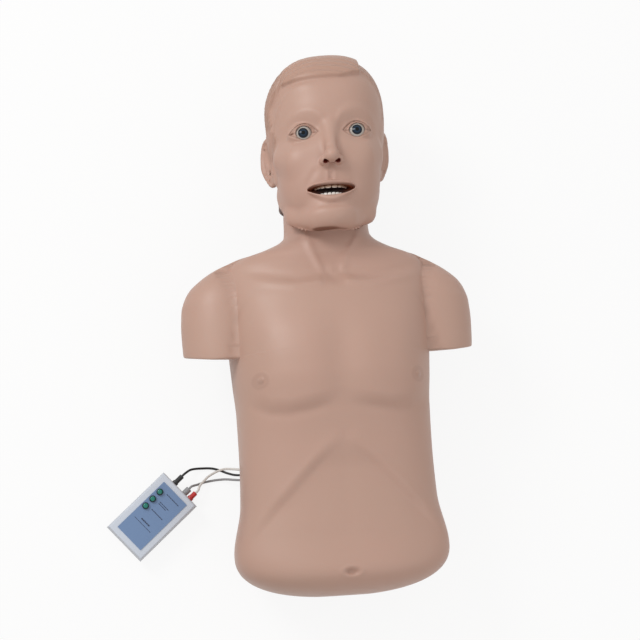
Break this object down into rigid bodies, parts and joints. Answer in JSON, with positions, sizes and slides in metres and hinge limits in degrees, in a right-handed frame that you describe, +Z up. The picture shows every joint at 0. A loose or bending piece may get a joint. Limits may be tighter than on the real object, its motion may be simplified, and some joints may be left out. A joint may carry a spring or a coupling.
{
  "type": "cpr training manikin",
  "caption": "Adult half-body manikin for practising chest compressions and mouth ventilation, with a tilting head, a sprung chest and a small wired control box.",
  "frame": {"origin": "middle of the back plate's flat underside, which rests on the floor", "axes": "+X to the manikin's left, +Y towards its head, +Z up from the floor through the chest"},
  "size_m": [0.5031, 0.7247, 0.2433],
  "materials": {
    "skin_vinyl": "satin flesh vinyl",
    "frame_plastic": "moulded, matt",
    "zinc_steel": "zinc plated",
    "spring_steel": "plain drawn wire",
    "bag_film": "soft film",
    "hose_vinyl": "smooth",
    "tooth_plastic": "glossy ivory white",
    "mouth_vinyl": "satin dark red brown",
    "eye_gloss": "clear lacquered",
    "case_plastic": "fine matt, pale bluish white",
    "label_film": "satin printed film",
    "black_plastic": "satin",
    "green_lens": "clear green",
    "red_plastic": "glossy",
    "white_lead_sheath": "satin",
    "grey_lead_sheath": "satin",
    "board_laminate": "solder mask green"
  },
  "bodies": {
    "torso": {"torso_skin": "skin_vinyl", "back_plate": "frame_plastic", "back_screw_1": "zinc_steel", "back_screw_2": "zinc_steel", "back_screw_3": "zinc_steel", "back_screw_4": "zinc_steel", "back_screw_5": "zinc_steel", "back_screw_6": "zinc_steel", "mechanism_base": "frame_plastic", "guide_sleeve": "frame_plastic", "depth_switch": "black_plastic", "switch_bracket": "zinc_steel", "compression_spring": "spring_steel", "lung_bag": "bag_film", "lung_hose": "hose_vinyl", "neck_post": "frame_plastic", "neck_pin": "zinc_steel", "lead_outlet": "black_plastic", "case_top": "case_plastic", "case_bottom": "case_plastic", "label_plate": "label_film", "lamp_bezel_1": "black_plastic", "lamp_bezel_2": "black_plastic", "lamp_bezel_3": "black_plastic", "lamp_lens_1": "green_lens", "lamp_lens_2": "green_lens", "lamp_lens_3": "green_lens", "circuit_board": "board_laminate", "power_socket": "black_plastic", "signal_gland": "grey_lead_sheath", "red_socket": "red_plastic", "case_screw_1": "zinc_steel", "case_screw_2": "zinc_steel", "case_screw_3": "zinc_steel", "case_screw_4": "zinc_steel", "black_plug": "black_plastic", "red_plug": "red_plastic", "black_lead": "black_plastic", "white_lead": "white_lead_sheath", "grey_lead": "grey_lead_sheath"},
    "chest": {"chest_plate": "frame_plastic", "plunger_rod": "zinc_steel", "spring_seat": "frame_plastic"},
    "head": {"head_skin": "skin_vinyl", "head_block": "frame_plastic", "head_hinge_lug": "frame_plastic", "eye_left": "eye_gloss", "eye_right": "eye_gloss", "upper_teeth": "tooth_plastic", "lower_teeth": "tooth_plastic", "mouth_liner": "mouth_vinyl", "airway_elbow": "hose_vinyl"}
  },
  "joints": [
    {"name": "head_tilt", "type": "hinge", "parent": "torso", "child": "head", "pos_m": [0.005, 0.294, 0.112], "axis": [1, 0, 0], "range_deg": [-10, 15]},
    {"name": "chest_compression", "type": "slide", "parent": "torso", "child": "chest", "axis": [0, 0, -1], "range_m": [0, 0.05], "stiffness_N_per_m": 8000, "springref_m": -0.004, "deforming": ["compression_spring"]}
  ]
}
